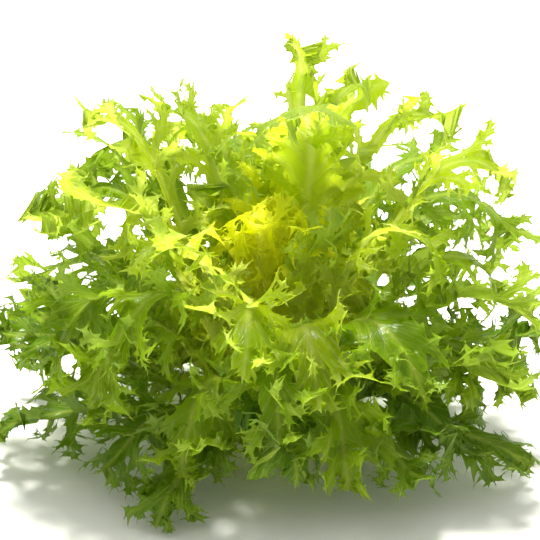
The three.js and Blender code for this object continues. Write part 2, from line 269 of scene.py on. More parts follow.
OWN_WAYS = {
    0: dict(azimuth=-163, launch=12, lift=10, fold=30, length=0.154),
    1: dict(azimuth=-25, launch=10, lift=6, fold=24, length=0.156),
    3: dict(azimuth=-118, launch=16, lift=14, fold=60, length=0.128),
    5: dict(azimuth=174, launch=24, lift=16, fold=56, fold_at=0.62, length=0.176),
    6: dict(azimuth=-56, launch=14, lift=14, fold=52, length=0.136),
    8: dict(azimuth=-139, launch=20, lift=16, fold=66, length=0.126),
    9: dict(azimuth=-3, launch=18, lift=14, fold=44, fold_at=0.66, length=0.164),
    11: dict(azimuth=-86, launch=26, lift=22, fold=84, length=0.130),
    13: dict(azimuth=-165, launch=22, lift=14, fold=40, fold_at=0.66, length=0.174),
    19: dict(azimuth=-29, launch=18, lift=18, fold=66, length=0.168),
    22: dict(azimuth=-12, launch=32, lift=14, fold=62, fold_at=0.64, length=0.176, half_width=0.042,
             roll=-34, web=0.6),
    26: dict(azimuth=179, launch=40, lift=8, fold=12, fold_at=0.8, length=0.180, half_width=0.022),
    27: dict(web=0.6),
    32: dict(web=0.64),
    33: dict(azimuth=67, launch=76, lift=4, fold=0, length=0.206, half_width=0.024, web=0.16),
    36: dict(azimuth=46, launch=74, lift=4, fold=60, fold_at=0.84, length=0.196, half_width=0.028),
    39: dict(azimuth=170, launch=58, lift=10, fold=100, fold_at=0.87, length=0.198, half_width=0.036),
    40: dict(azimuth=-38, launch=68, lift=8, fold=30, fold_at=0.8, length=0.116),
    41: dict(azimuth=30, launch=80, lift=2, fold=-130, fold_at=0.76, length=0.208, half_width=0.044,
             sway=75, web=0.8),
    43: dict(azimuth=-4, launch=50, lift=8, fold=165, fold_at=0.83, length=0.212, half_width=0.030),
    45: dict(azimuth=132, launch=74, lift=4, fold=40, length=0.132),
}
FILLING_WAYS = [
    dict(age=0.08, azimuth=161),
    dict(age=0.10, azimuth=10),
    dict(age=0.19, azimuth=-37),
    dict(age=0.38, azimuth=-68),
    dict(age=0.32, azimuth=150),
    dict(age=0.48, azimuth=24),
    dict(age=0.52, azimuth=-156),
    dict(age=0.63, azimuth=160),
    dict(age=0.55, azimuth=90),
    dict(age=0.76, azimuth=116),
]
LOBES = 5
BARE_SHARE = 0.2
LAST_LOBE = 0.97
RUFFLE_LENGTH = 0.046
SPINE_STEP = 0.0025
SECTION_STEPS = 12
WEB_SHARE = 0.26
LEAFLETS = 8
CRIMP_LENGTH = 0.0155
CRIMP_DRIFT_LENGTH = 0.061
CRIMP = math.radians(20)


def chance(leaf, draw):
    """A fixed draw from 0 to 1 for a leaf."""
    s = math.sin(leaf * 12.9898 + draw * 78.233) * 43758.5453
    return s - math.floor(s)


def spread(leaf, draw, size):
    return (2 * chance(leaf, draw) - 1) * size


def smoothstep(x, low, high):
    x = np.clip((x - low) / (high - low), 0, 1)
    return x * x * (3 - 2 * x)


def lerp(a, b, t):
    return a + (b - a) * t


def leaf_habit(i):
    """What is true of leaf number i from the outermost: where it grows, how it runs and how it curls.
    A leaf with a broad web of its own curls less and bears fewer leaflets."""
    own = FILLING_WAYS[i - SPIRAL_LEAVES] if i >= SPIRAL_LEAVES else OWN_WAYS.get(i, {})
    age = own.get("age", i / (SPIRAL_LEAVES - 1))
    azimuth = math.radians(own.get("azimuth", FIRST_AZIMUTH + i * SPIRAL_STEP + spread(i, 1, 7)))
    front = max(0, math.cos(azimuth - math.radians(FRONT_AZIMUTH))) ** 1.3

    def habit(name):
        return lerp(along(HABIT[name], age), along(FRONT_HABIT[name], age), front)

    root_height = lerp(FIRST_ROOT_HEIGHT, LAST_ROOT_HEIGHT, age)
    reach = lerp(1, DEPTH_TO_WIDTH, math.sin(azimuth) ** 2 * (1 - age))
    leaf = dict(
        age=age,
        azimuth=azimuth,
        root_height=root_height,
        root_radius=stem_radius(root_height) + ROOT_GAP,
        lobes=LOBES,
        launch=math.radians(own.get("launch", habit("launch") + spread(i, 2, 3))),
        lift=math.radians(own.get("lift", habit("lift"))),
        fold=math.radians(own.get("fold", habit("fold") * (1 + spread(i, 3, 0.22)))),
        fold_at=own.get("fold_at", habit("fold_at") + spread(i, 4, 0.05)),
        length=own.get("length", habit("length") * reach * (1 + spread(i, 5, 0.07))),
        half_width=own.get("half_width", habit("half_width") * (1 + spread(i, 6, 0.12))),
        sway=math.radians(own.get("sway", spread(i, 7, 16))),
        roll=math.radians(own.get("roll", spread(i, 8, 16))),
        cup=math.radians(lerp(34, 22, age)),
        flare=math.radians(spread(i, 9, 30)),
        ruffle=math.radians(lerp(46, 40, age)),
        ruffle_start=[chance(i, 10) * 2 * math.pi, chance(i, 11) * 2 * math.pi],
        web=own.get("web", WEB_SHARE + spread(i, 12, 0.1)),
        curl=0.55 if "web" in own else 1.0,
        leaflets=3 if "web" in own else LEAFLETS,
    )
    return clear_of_table(leaf)


def clear_of_table(leaf):
    """A leaf folds over only until it meets the table."""
    stations = stations_of(leaf)
    s = np.repeat(stations, 5)
    w = np.tile(np.array([-1, -0.5, 0, 0.5, 1]) * leaf["half_width"], len(stations))
    for _ in range(60):
        points = blade_points(leaf, spine_of(leaf), s, w, steps=6, fine=0)[0]
        if points[:, 2].min() >= LOWEST_POINT:
            break
        leaf["fold"] -= math.radians(2)
        leaf["launch"] += math.radians(0.2)
    return leaf


def spine_of(leaf):
    """The leaf's rib as rows of places, directions, sides and upper normals."""
    steps = math.ceil(leaf["length"] / SPINE_STEP)
    t = np.arange(steps + 1) / steps
    azimuth = leaf["azimuth"]
    root_radius = leaf["root_radius"] + STEEP_ROOT_GAP * math.sin(leaf["launch"])
    elevation = leaf["launch"] + leaf["lift"] * smoothstep(t, 0, 0.35)
    elevation = elevation - leaf["fold"] * smoothstep(t, leaf["fold_at"] - 0.22, leaf["fold_at"] + 0.3)
    heading = azimuth + leaf["sway"] * t * t
    roll = (leaf["roll"] * smoothstep(t, 0.15, 1))[:, None]
    ch, sh = np.cos(heading), np.sin(heading)
    forward = np.stack([np.cos(elevation) * ch, np.cos(elevation) * sh, np.sin(elevation)], 1)
    level = np.stack([-sh, ch, 0 * t], 1)
    above = np.cross(forward, level)
    side = level * np.cos(roll) + above * np.sin(roll)
    root = [root_radius * math.cos(azimuth), root_radius * math.sin(azimuth), leaf["root_height"]]
    places = np.array(root) + np.vstack([np.zeros(3), np.cumsum(forward[:-1], 0)]) * leaf["length"] / steps
    return places, forward, side, np.cross(forward, side)


def unit(rows):
    return rows / np.linalg.norm(rows, axis=1, keepdims=True)


def blade_points(leaf, spine, s, w, steps=SECTION_STEPS, fine=1):
    """Points of the blade, s along the rib and w out from it, with its upper normals there.
    It cups up from the rib, flares towards its tip, and ruffles more and more towards its margin.
    fine adds the close crimp of its margin."""
    places, forwards, sides, normals = spine
    at = np.clip(s / leaf["length"], 0, 1) * (len(places) - 1)
    i = np.minimum(at.astype(int), len(places) - 2)
    mix = (at - i)[:, None]
    place = places[i] * (1 - mix) + places[i + 1] * mix
    forward = unit(forwards[i] * (1 - mix) + forwards[i + 1] * mix)
    side = unit(sides[i] * (1 - mix) + sides[i + 1] * mix)
    normal = unit(normals[i] * (1 - mix) + normals[i + 1] * mix)
    place = place + forward * np.maximum(s - leaf["length"], 0)[:, None] * fine
    t = s / leaf["length"]
    starts = np.where(w < 0, leaf["ruffle_start"][0], leaf["ruffle_start"][1])
    wave = np.sin(2 * math.pi * s / RUFFLE_LENGTH + starts)
    uneven = 1.4 * np.sin(2 * math.pi * s / CRIMP_DRIFT_LENGTH + 2 * starts)
    crimp = np.sin(2 * math.pi * s / CRIMP_LENGTH + uneven + 3 * starts)
    bow = leaf["cup"] * (1 - 0.6 * t) + leaf["flare"] * smoothstep(t, 0.45, 0.9)
    ramp = smoothstep(t, 0.15, 0.4)
    step = np.abs(w) / steps
    out, up = np.zeros_like(s), np.zeros_like(s)
    for k in range(steps):
        share = (k + 0.5) * step / leaf["half_width"]
        angle = bow * np.minimum(1, 2 * share) + leaf["ruffle"] * wave * share ** 1.3 * ramp
        angle = angle + fine * CRIMP * crimp * share ** 1.5 * ramp
        out = out + step * np.cos(angle)
        up = up + step * np.sin(angle)
    sign = np.where(w < 0, -1, 1)[:, None]
    points = place + side * sign * out[:, None] + normal * up[:, None]
    faces = normal * np.cos(angle)[:, None] - side * sign * np.sin(angle)[:, None]
    return points, faces


def stations_of(leaf):
    """Stations along the leaf: two on its bare foot, then one for each lobe, and one at its tip.
    The lobes reach out to the right and to the left in turn."""
    lobed = 2 * leaf["lobes"] + 1
    shares = [lerp(BARE_SHARE, LAST_LOBE, k / (lobed - 1)) for k in range(lobed)]
    return leaf["length"] * np.array([0, BARE_SHARE * 0.5, *shares, 1])


# Leaves, their outline
# A blade is cut towards its rib in lobes like antlers, left and right in turn. Each lobe is a curved
# tongue that forks into a few prongs, and all its edges carry small pointed teeth.
OUTLINE = [0.2, 0.16, 0.26, 0.55, 0.86, 1, 0.98, 0.75, 0.08]
RIB_HALF_WIDTH = [0.0065, 0.0042, 0.0034, 0.0028, 0.0022, 0.0016, 0.001]
RIB_THICKNESS = [0.0034, 0.0028, 0.0024, 0.002, 0.0016, 0.0013, 0.001]
BLADE_THICKNESS = 0.00044
LOBE_HALF_WIDTH = 0.0034
TIP_LOBE_HALF_WIDTH = 0.0042
LEAST_LOBE = 0.012
LOBE_CURL = (20, 115)
LOBE_TWIST = 50
FORKS = 4
FORK_ANGLE = (28, 58)
LEAST_PRONG = 0.0045
LEAFLET_HALF_WIDTH = 0.0032
LEAST_LEAFLET = 0.022
LEAFLET_PITCH = (35, 75)
LEAFLET_CURL = 100
LEAFLET_TWIST = 40
WEB_WAVE = 0.0041
TOOTH_HEIGHT = 0.0026
TOOTH_HALF_BASE = 0.0013
TOOTH_SPACING = 0.0078
FOOT_SPIKE_SIZE = (0.002, 0.006)
FOOT_SPIKE_HALF_WIDTH = 0.0008
FOOT_SPIKE_SPACING = 0.007
THORN_LEAN = 0.9
THORN_CLEARANCE = 0.006
POINT_SPACING = 0.0038
POINT_TOLERANCE = 0.00001
TABLE_GAP = 0.0004
TABLE_EASE = 0.0012
MM = 1000


def middle_line(start, tip, bend, points):
    """A line from start to tip in the flat leaf that bends to its left by a share of its length."""
    start, tip = np.array(start), np.array(tip)
    u = np.linspace(0, 1, points)[:, None]
    run = tip - start
    middle = start + 0.5 * run + bend * np.array([-run[1], run[0]])
    return (1 - u) ** 2 * start + 2 * u * (1 - u) * middle + u ** 2 * tip


def on_line(line, rows, u):
    """What rows given along a line are at share u of it."""
    k = np.asarray(u) * (len(line) - 1)
    return np.stack([np.interp(k, np.arange(len(line)), rows[:, c]) for c in range(rows.shape[1])], -1)


def line_length(line):
    return np.linalg.norm(np.diff(line, axis=0), axis=1).sum()


def tongue(rng, line, half_width, foot):
    """A polygon round a middle line, widened by foot where it starts, with teeth on both edges.
    Each of its points has the way that a thorn takes there, or none."""
    length = line_length(line)
    slope = unit(np.gradient(line, axis=0))
    side = np.stack([-slope[:, 1], slope[:, 0]], 1)
    count = int(length / TOOTH_SPACING)

    def width(u):
        return half_width * (1 - u ** 2) ** 0.85 + foot * np.maximum(1 - u / 0.4, 0) ** 2

    edges = []
    for hand in (-1, 1):
        rows = [(u, width(u), 0) for u in np.linspace(0, 0.93, 3 + int(length / 0.010))]
        for j in range(count):
            at = (j + 1 + rng.uniform(-0.25, 0.25)) / (count + 0.9)
            height = TOOTH_HEIGHT * rng.uniform(0.5, 1.5) * (1.15 - 0.6 * at)
            base = min(TOOTH_HALF_BASE, 0.6 * height) / length
            rows = [r for r in rows if not at - 1.3 * base < r[0] < at + 2.2 * base]
            rows += [
                (at - base, width(at - base), 0),
                (at + 0.75 * height / length, width(at) + height, 1),
                (at + 1.5 * base, width(min(at + 1.5 * base, 1)) + 0.15 * height, 0),
            ]
        u, out, is_tip = np.array(sorted(r for r in rows if r[0] < 0.99)).T[:, :, None]
        across = hand * on_line(line, side, u[:, 0])
        ways = is_tip * (THORN_LEAN * on_line(line, slope, u[:, 0]) + across)
        edges.append(np.hstack([on_line(line, line, u[:, 0]) + out * across, ways]))
    tip = np.hstack([line[-1:], slope[-1:]])
    return np.vstack([edges[0], tip, edges[1][::-1]])


def turned(direction, angle):
    c, s = math.cos(angle), math.sin(angle)
    return np.array([c * direction[0] - s * direction[1], s * direction[0] + c * direction[1]])


def antler(rng, start, tip, half_width, foot, bend):
    """A lobe with its forks, as overlapping polygons and their middle lines, its own line first."""
    line = middle_line(start, tip, bend, 7)
    length = line_length(line)
    slope = unit(np.gradient(line, axis=0))
    polygons, lines = [tongue(rng, line, half_width, foot)], [line]
    edge = rng.choice([-1, 1])
    for fork in range(FORKS):
        edge = -edge
        at = lerp(0.28, 0.86, (fork + rng.uniform(0.2, 0.8)) / FORKS)
        size = max(length * (0.5 - 0.28 * at) * rng.uniform(0.65, 1.35), LEAST_PRONG)
        aim = turned(on_line(line, slope, at), edge * math.radians(rng.uniform(*FORK_ANGLE)))
        root = on_line(line, line, at)
        prong = middle_line(root, root + aim * size, -0.14 * edge * rng.uniform(0, 2), 4)
        polygons.append(tongue(rng, prong, min(half_width * 0.55, size * 0.2), 0.0008))
        lines.append(prong)
    return polygons, lines


def leaf_plan(leaf, rng):
    """The leaf laid flat: the polygon of its middle, and its lobes, each as polygons and middle lines."""
    length, wide, web_share = leaf["length"], leaf["half_width"], leaf["web"]
    step = length * (LAST_LOBE - BARE_SHARE) / (2 * leaf["lobes"])
    s = np.linspace(0, length * 0.96, 36)
    t = s / length
    rib = along(RIB_HALF_WIDTH, t)
    edges = []
    for hand in (-1, 1):
        wave = 1 + 0.2 * np.sin(s / WEB_WAVE + rng.uniform(0, 6)) * smoothstep(t, 0.2, 0.4)
        web = along(OUTLINE, t) * wide * web_share * smoothstep(t, 0.14, 0.3) * wave
        web = np.maximum(rib + 0.0006, web)
        edges.append(np.stack([s, hand * np.minimum(web, 0.5 * (length - s) + 0.0008)], 1))
    blade = np.vstack([edges[0], edges[1][::-1]])
    blade = np.hstack([blade, np.zeros_like(blade)])
    lobes = []
    for k, at in enumerate(stations_of(leaf)[2:-1]):
        hand = -1 if k % 2 else 1
        reach = max(along(OUTLINE, at / length) * wide * rng.uniform(0.92, 1.08), LEAST_LOBE)
        tip = (min(at + step * rng.uniform(0.6, 1.5), length * 1.005), hand * reach)
        start = (at - step * rng.uniform(0.5, 0.9), hand * 0.001)
        half_width = LOBE_HALF_WIDTH * rng.uniform(0.8, 1.25) * (0.7 + 0.6 * web_share)
        lobes.append(antler(rng, start, tip, half_width, step * 0.42, 0.16 * -hand * rng.uniform(0.2, 1.4)))
    start, tip = (length * 0.84, 0), (length * 1.005, 0)
    lobes.append(antler(rng, start, tip, TIP_LOBE_HALF_WIDTH, 0.002, rng.uniform(-0.1, 0.1)))
    return blade, lobes


def foot_spikes(leaf, rng):
    """Polygons of the small spikes along the edges of the bare foot of the rib."""
    polygons = []
    for hand in (-1, 1):
        for at in np.arange(0.02, leaf["length"] * 0.3, FOOT_SPIKE_SPACING):
            at = at + rng.uniform(-0.002, 0.002)
            base = along(RIB_HALF_WIDTH, at / leaf["length"])
            size = rng.uniform(*FOOT_SPIKE_SIZE)
            root = (at, hand * base * 0.7)
            tip = (at + size * 0.8, hand * (base + size))
            line = middle_line(root, tip, 0.1 * hand, 4)
            polygons.append(tongue(rng, line, FOOT_SPIKE_HALF_WIDTH, FOOT_SPIKE_HALF_WIDTH))
    return polygons


def triangulated(polygons, owners, lines, length=0, wide=0):
    """Fills overlapping polygons with triangles, whose edges keep to the middle lines.
    Gives the points (s, w), the way of a thorn at each, the triangles, and whose each point is.
    Points are also strewn over length and width."""
    points, faces, edges = [], [], []
    ways = np.vstack([polygon[:, 2:] for polygon in polygons])
    for polygon in polygons:
        faces.append(list(range(len(points), len(points) + len(polygon))))
        points += [Vector(p) for p in polygon[:, :2] * MM]
    for line in lines:
        edges += [(len(points) + k, len(points) + k + 1) for k in range(len(line) - 1)]
        points += [Vector(p) for p in line * MM]
    spacing = POINT_SPACING * MM
    for r in range(int(length * MM / spacing)):
        s = (r + 0.5) * spacing
        rib = along(RIB_HALF_WIDTH, s / MM / length) * MM
        columns = [0, 0.6 * rib, 1.3 * rib, *np.arange(1.3 * rib + 0.8 * spacing, wide * MM, spacing)]
        points += [Vector((s + 0.5 * spacing * (c % 2), w)) for c, w in enumerate(columns)]
        points += [Vector((s + 0.5 * spacing * (c % 2), -w)) for c, w in enumerate(columns) if c]
    flat, _, triangles, inputs, _, sources = delaunay_2d_cdt(points, edges, faces, 1, POINT_TOLERANCE * MM)
    flat = np.array([tuple(p) for p in flat]) / MM
    way = np.array([ways[k[0]] if len(k) and k[0] < len(ways) else (0, 0) for k in inputs])
    owner = np.full(len(flat), -1)
    for triangle, source in zip(triangles, sources):
        if len(source):
            owner[triangle] = max(owners[f] for f in source)
    triangles = np.array([t for t in triangles if len(t) == 3])
    used, triangles = np.unique(triangles, return_inverse=True)
    return flat[used], way[used], triangles.reshape(-1, 3), owner[used]


def line_distance(points, line):
    """How far points are from a line, and at what share of it they are nearest."""
    starts, runs = line[:-1], np.diff(line, axis=0)
    off = points[:, None] - starts[None]
    share = np.clip((off * runs).sum(2) / (runs ** 2).sum(1), 0, 1)
    gaps = np.linalg.norm(off - share[..., None] * runs, axis=2)
    nearest = gaps.argmin(1)
    rows = np.arange(len(points))
    return gaps[rows, nearest], (nearest + share[rows, nearest]) / len(runs)


def curl_lobe(leaf, spine, flat, surface, line, pitch, curl, twist):
    """Carries a lobe along as its middle line is pitched, curled and twisted.
    Its surface is its points, the ends of its thorns, and its normals."""
    middle, upper = blade_points(leaf, spine, line[:, 0], line[:, 1])
    ahead = unit(np.gradient(middle, axis=0))
    side = unit(np.cross(upper, ahead))
    upper = np.cross(ahead, side)
    u = np.linspace(0, 1, len(line))[:, None]
    bend = pitch + curl * u ** 1.4
    turn = twist * u ** 1.2
    new_ahead = ahead * np.cos(bend) + upper * np.sin(bend)
    bent = upper * np.cos(bend) - ahead * np.sin(bend)
    new_side = side * np.cos(turn) + bent * np.sin(turn)
    new_upper = bent * np.cos(turn) - side * np.sin(turn)
    strides = np.linalg.norm(np.diff(middle, axis=0), axis=1)[:, None]
    halfway = unit(new_ahead[:-1] + new_ahead[1:])
    new_middle = middle[0] + np.vstack([np.zeros(3), np.cumsum(halfway * strides, 0)])
    _, at = line_distance(flat, line)
    old = [on_line(line, rows, at) for rows in (ahead, side, upper)]
    new = [on_line(line, rows, at) for rows in (new_ahead, new_side, new_upper)]

    def carried(rows):
        return sum((rows * a).sum(1, keepdims=True) * b for a, b in zip(old, new))

    points, ends, normals = surface
    old_place, new_place = on_line(line, middle, at), on_line(line, new_middle, at)
    new_points = new_place + carried(points - old_place)
    new_ends = new_place + carried(ends - old_place)
    return np.stack([new_points, new_ends, carried(normals)])


def bent_surface(leaf, spine, flat, way):
    """The points of a flat leaf on its bent blade, the ends of its thorns, and its normals."""
    points, normals = blade_points(leaf, spine, flat[:, 0], flat[:, 1])
    ends, _ = blade_points(leaf, spine, flat[:, 0] + way[:, 0] / MM, flat[:, 1] + way[:, 1] / MM)
    return np.stack([points, ends, normals])


def closed_body(upper, lower, triangles):
    """A closed body between two like faces, as vertices, triangles and the edges of its rim."""
    n = len(upper)
    edges = np.vstack([triangles[:, [0, 1]], triangles[:, [1, 2]], triangles[:, [2, 0]]])
    forth = edges[:, 0] * n + edges[:, 1]
    back = edges[:, 1] * n + edges[:, 0]
    rim = edges[~np.isin(forth, back)]
    walls = np.vstack([
        np.stack([rim[:, 1], rim[:, 0], rim[:, 0] + n], 1),
        np.stack([rim[:, 1], rim[:, 0] + n, rim[:, 1] + n], 1),
    ])
    return np.vstack([upper, lower]), np.vstack([triangles, triangles[:, ::-1] + n, walls]), rim


def thickened(leaf, flat, surface, triangles, lines):
    """The closed body of a blade or leaflet, with the values that its skin is coloured by."""
    points, ends, normals = surface
    s, w = flat[:, 0], flat[:, 1]
    t = np.clip(s / leaf["length"], 0, 1)
    thorn = ends - points
    # A tip that would curl through the table is eased up to lie on it
    points = points.copy()
    points[:, 2] = 0.5 * (points[:, 2] + np.hypot(points[:, 2], TABLE_EASE)) + TABLE_GAP
    rib_half = along(RIB_HALF_WIDTH, t)
    rib = np.exp(-1.3 * (w / rib_half) ** 2)
    margin = np.abs(w) / leaf["half_width"]
    blade = BLADE_THICKNESS / 2 * (1 - 0.3 * np.clip(margin, 0, 1))
    ridge = np.maximum(along(RIB_THICKNESS, t) / 2 - blade, 0) * rib
    normals = unit(normals)
    upper = points + normals * (blade + 0.5 * ridge)[:, None]
    lower = points - normals * (blade + 1.2 * ridge)[:, None]
    vertices, faces, rim = closed_body(upper, lower, triangles)
    thorny = np.isin(np.arange(len(s)), rim) & (points[:, 2] > THORN_CLEARANCE)
    thorn = np.vstack([thorn * thorny[:, None], 0 * thorn])
    vein = np.min([line_distance(flat, line)[0] for line in lines], 0)
    marks = dict(
        along=np.tile(s, 2),
        across=np.tile(w, 2),
        share=np.tile(t, 2),
        ribwidth=np.tile(rib_half, 2),
        margin=np.tile(margin, 2),
        vein=np.tile(vein, 2),
        under=np.repeat([0.0, 1.0], len(s)),
        thorn_x=thorn[:, 0],
        thorn_y=thorn[:, 1],
        thorn_z=thorn[:, 2],
    )
    return vertices, faces, marks


def grown_leaf(leaf, seed):
    """The closed bodies of a fine leaf: its blade, and the leaflets that stand up or hang from its rib."""
    rng = np.random.default_rng(seed)
    spine = spine_of(leaf)
    blade, lobes = leaf_plan(leaf, rng)
    polygons, owners, lines = [blade], [-1], []
    for number, (lobe, lobe_lines) in enumerate(lobes):
        polygons += lobe
        owners += [number] * len(lobe)
        lines += lobe_lines
    spikes = foot_spikes(leaf, rng)
    polygons += spikes
    owners += [-1] * len(spikes)
    flat, way, triangles, owner = triangulated(polygons, owners, lines, leaf["length"], leaf["half_width"])
    surface = bent_surface(leaf, spine, flat, way)
    for number, (_, lobe_lines) in enumerate(lobes):
        own = owner == number
        if not own.any():
            continue
        curl = math.radians(rng.choice([-1, 1], p=[0.55, 0.45]) * rng.uniform(*LOBE_CURL)) * leaf["curl"]
        twist = math.radians(rng.uniform(-LOBE_TWIST, LOBE_TWIST)) * leaf["curl"]
        surface[:, own] = curl_lobe(leaf, spine, flat[own], surface[:, own], lobe_lines[0], 0, curl, twist)
    bodies = [thickened(leaf, flat, surface, triangles, lines)]
    for number in range(leaf["leaflets"]):
        t = lerp(0.16, 0.9, (number + rng.uniform(0, 1)) / leaf["leaflets"])
        hand = 1 if number % 2 else -1
        size = max(along(OUTLINE, t) * leaf["half_width"], LEAST_LEAFLET) * rng.uniform(0.55, 0.95)
        start = (t * leaf["length"], hand * 0.0004)
        tip = (start[0] + size * rng.uniform(0.3, 0.9), hand * size)
        polygons, lines = antler(rng, start, tip, LEAFLET_HALF_WIDTH, 0.001, -0.2 * hand)
        flat, way, triangles, _ = triangulated(polygons, [0] * len(polygons), lines)
        surface = bent_surface(leaf, spine, flat, way)
        pitch = math.radians(rng.choice([-1, 1]) * rng.uniform(*LEAFLET_PITCH))
        curl = math.radians(rng.uniform(-LEAFLET_CURL, LEAFLET_CURL))
        twist = math.radians(rng.uniform(-LEAFLET_TWIST, LEAFLET_TWIST))
        surface = curl_lobe(leaf, spine, flat, surface, lines[0], pitch, curl, twist)
        bodies.append(thickened(leaf, flat, surface, triangles, lines))
    return joined(bodies)


def joined(bodies):
    """Several closed bodies as the vertices, faces and marks of one."""
    starts = np.cumsum([0] + [len(vertices) for vertices, _, _ in bodies])
    vertices = np.vstack([body[0] for body in bodies])
    faces = np.vstack([body[1] + start for body, start in zip(bodies, starts)])
    return vertices, faces, {name: np.concatenate([b[2][name] for b in bodies]) for name in bodies[0][2]}


# Leaves, their thorns
# The teeth of a leaf end in fine hooked thorns, soft and no thicker than a hair at the tip, that have
# grown out of its edge.
THORN_LENGTH = 0.003
THORN_WIDTH = 0.0007
THORN_HOOK = 110.0
LEAST_THORN = 0.45
GREATEST_THORN = 1.3


def thorn_tree():
    """Grows a thorn on each marked vertex of a leaf, along its mark."""
    tree = bpy.data.node_groups.new("leaf thorns", "GeometryNodeTree")
    face = tree.interface
    face.new_socket("Leaf", in_out="INPUT", socket_type="NodeSocketGeometry")
    face.new_socket("Thorn length", in_out="INPUT", socket_type="NodeSocketFloat")
    face.new_socket("Thorn width", in_out="INPUT", socket_type="NodeSocketFloat")
    face.new_socket("Hook", in_out="INPUT", socket_type="NodeSocketFloat")
    face.new_socket("Seed", in_out="INPUT", socket_type="NodeSocketInt")
    face.new_socket("Skin", in_out="INPUT", socket_type="NodeSocketMaterial")
    face.new_socket("Thorny leaf", in_out="OUTPUT", socket_type="NodeSocketGeometry")
    enter = tree.nodes.new("NodeGroupInput").outputs
    leave = tree.nodes.new("NodeGroupOutput").inputs
    link = tree.links.new

    def node(kind, **properties):
        made = tree.nodes.new(kind)
        for name, value in properties.items():
            setattr(made, name, value)
        return made

    way = node("ShaderNodeCombineXYZ")
    for axis, name in enumerate(("thorn_x", "thorn_y", "thorn_z")):
        mark = node("GeometryNodeInputNamedAttribute", data_type="FLOAT")
        mark.inputs["Name"].default_value = name
        link(mark.outputs["Attribute"], way.inputs[axis])
    size = node("ShaderNodeVectorMath", operation="LENGTH")
    link(way.outputs[0], size.inputs[0])
    marked = node("FunctionNodeCompare", data_type="FLOAT", operation="GREATER_THAN")
    marked.inputs["B"].default_value = 1e-5
    link(size.outputs["Value"], marked.inputs["A"])

    cone = node("GeometryNodeMeshCone", fill_type="NGON")
    cone.inputs["Vertices"].default_value = 3
    cone.inputs["Side Segments"].default_value = 2
    link(enter["Thorn width"], cone.inputs["Radius Bottom"])
    link(enter["Thorn length"], cone.inputs["Depth"])
    place = node("GeometryNodeInputPosition")
    parts = node("ShaderNodeSeparateXYZ")
    link(place.outputs[0], parts.inputs[0])
    height = parts.outputs["Z"]
    square = node("ShaderNodeMath", operation="MULTIPLY")
    link(height, square.inputs[0])
    link(height, square.inputs[1])
    bend = node("ShaderNodeMath", operation="MULTIPLY")
    link(square.outputs[0], bend.inputs[0])
    link(enter["Hook"], bend.inputs[1])
    offset = node("ShaderNodeCombineXYZ")
    link(bend.outputs[0], offset.inputs["X"])
    hooked = node("GeometryNodeSetPosition")
    link(cone.outputs["Mesh"], hooked.inputs["Geometry"])
    link(offset.outputs[0], hooked.inputs["Offset"])

    aim = node("FunctionNodeAlignRotationToVector", axis="Z")
    link(way.outputs[0], aim.inputs["Vector"])
    turn = node("FunctionNodeRandomValue", data_type="FLOAT_VECTOR")
    turn.inputs["Max"].default_value = (0, 0, 2 * math.pi)
    link(enter["Seed"], turn.inputs["Seed"])
    spun = node("FunctionNodeRotateRotation", rotation_space="LOCAL")
    link(aim.outputs[0], spun.inputs["Rotation"])
    link(turn.outputs["Value"], spun.inputs["Rotate By"])
    scale = node("FunctionNodeRandomValue", data_type="FLOAT")
    scale.inputs[2].default_value = LEAST_THORN
    scale.inputs[3].default_value = GREATEST_THORN
    link(enter["Seed"], scale.inputs["Seed"])
    grown = node("GeometryNodeInstanceOnPoints")
    link(enter["Leaf"], grown.inputs["Points"])
    link(marked.outputs["Result"], grown.inputs["Selection"])
    link(hooked.outputs[0], grown.inputs["Instance"])
    link(spun.outputs[0], grown.inputs["Rotation"])
    link(scale.outputs[1], grown.inputs["Scale"])
    both = node("GeometryNodeJoinGeometry")
    link(enter["Leaf"], both.inputs[0])
    link(grown.outputs[0], both.inputs[0])
    real = node("GeometryNodeRealizeInstances")
    skin = node("GeometryNodeSetMaterial")
    link(both.outputs[0], real.inputs[0])
    link(real.outputs[0], skin.inputs["Geometry"])
    link(enter["Skin"], skin.inputs["Material"])
    link(skin.outputs[0], leave[0])
    return tree


leaf_thorns = thorn_tree()


def grow_thorns(piece, material, seed):
    """Gives a leaf its thorns and its skin, and leaves it a plain mesh."""
    grower = piece.modifiers.new("thorns", "NODES")
    grower.node_group = leaf_thorns
    values = {
        "Thorn length": THORN_LENGTH,
        "Thorn width": THORN_WIDTH / 2,
        "Hook": THORN_HOOK,
        "Seed": seed,
        "Skin": material,
    }
    for socket in leaf_thorns.interface.items_tree:
        if socket.in_out == "INPUT" and socket.name in values:
            grower[socket.identifier] = values[socket.name]
    bare = piece.data
    evaluated = piece.evaluated_get(bpy.context.evaluated_depsgraph_get())
    thorny = bpy.data.meshes.new_from_object(evaluated)
    piece.modifiers.clear()
    piece.data = thorny
    bpy.data.meshes.remove(bare)


# Leaves, their skin
# Thin wet tissue that light shines through. Pale ribs send out a fan of fine white veins, whose pale
# streaks also carry a painted highlight for the sheen along the folds; the blade between is quilted, its
# upper face is satin, and its green deepens from the foot to the margin.
SIDE_VEIN_WIDTH = 0.00055
PATCH_COLOUR = (0.62, 0.72, 0.3, 1)
OLDER_COLOUR = (0.68, 0.84, 0.5, 1)
BLOOM_COLOUR = (0.66, 0.77, 0.32, 1)


